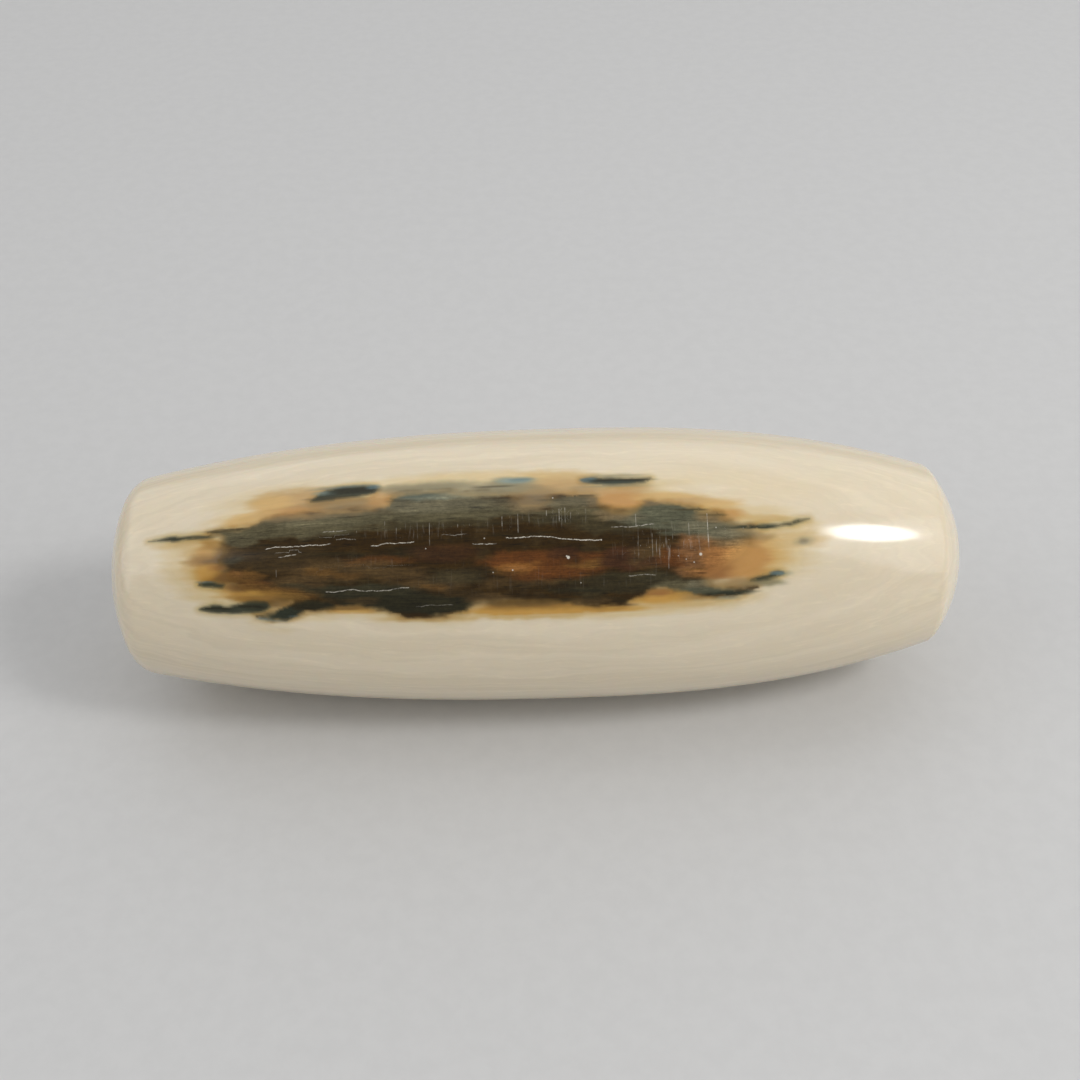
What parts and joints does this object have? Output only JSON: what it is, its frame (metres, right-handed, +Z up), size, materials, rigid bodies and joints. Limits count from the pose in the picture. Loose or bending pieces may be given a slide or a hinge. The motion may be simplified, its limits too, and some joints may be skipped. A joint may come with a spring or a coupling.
{
  "type": "barrel bead",
  "caption": "Polished tapering barrel bead of cream mammoth ivory with a dark patch of natural bark on one side and a lengthwise stringing bore.",
  "frame": {"origin": "under the middle of the bead, on the surface that it rests on", "axes": "+X along the bead and its bore, towards the slightly smaller end; +Z up as the bead lies; -Y towards whoever looks at the bark"},
  "size_m": [0.046, 0.015, 0.015],
  "materials": {
    "ivory": "polished",
    "bark": "polished"
  },
  "bodies": {
    "root": {"ivory_body": "ivory", "bark_cap": "bark", "bark_island_rear_left": "bark", "bark_island_rear_right": "bark", "bark_island_front_left": "bark", "bark_island_front_right": "bark", "bark_spot_left": "bark", "bark_vein_left": "bark", "bark_vein_right": "bark"}
  },
  "joints": []
}
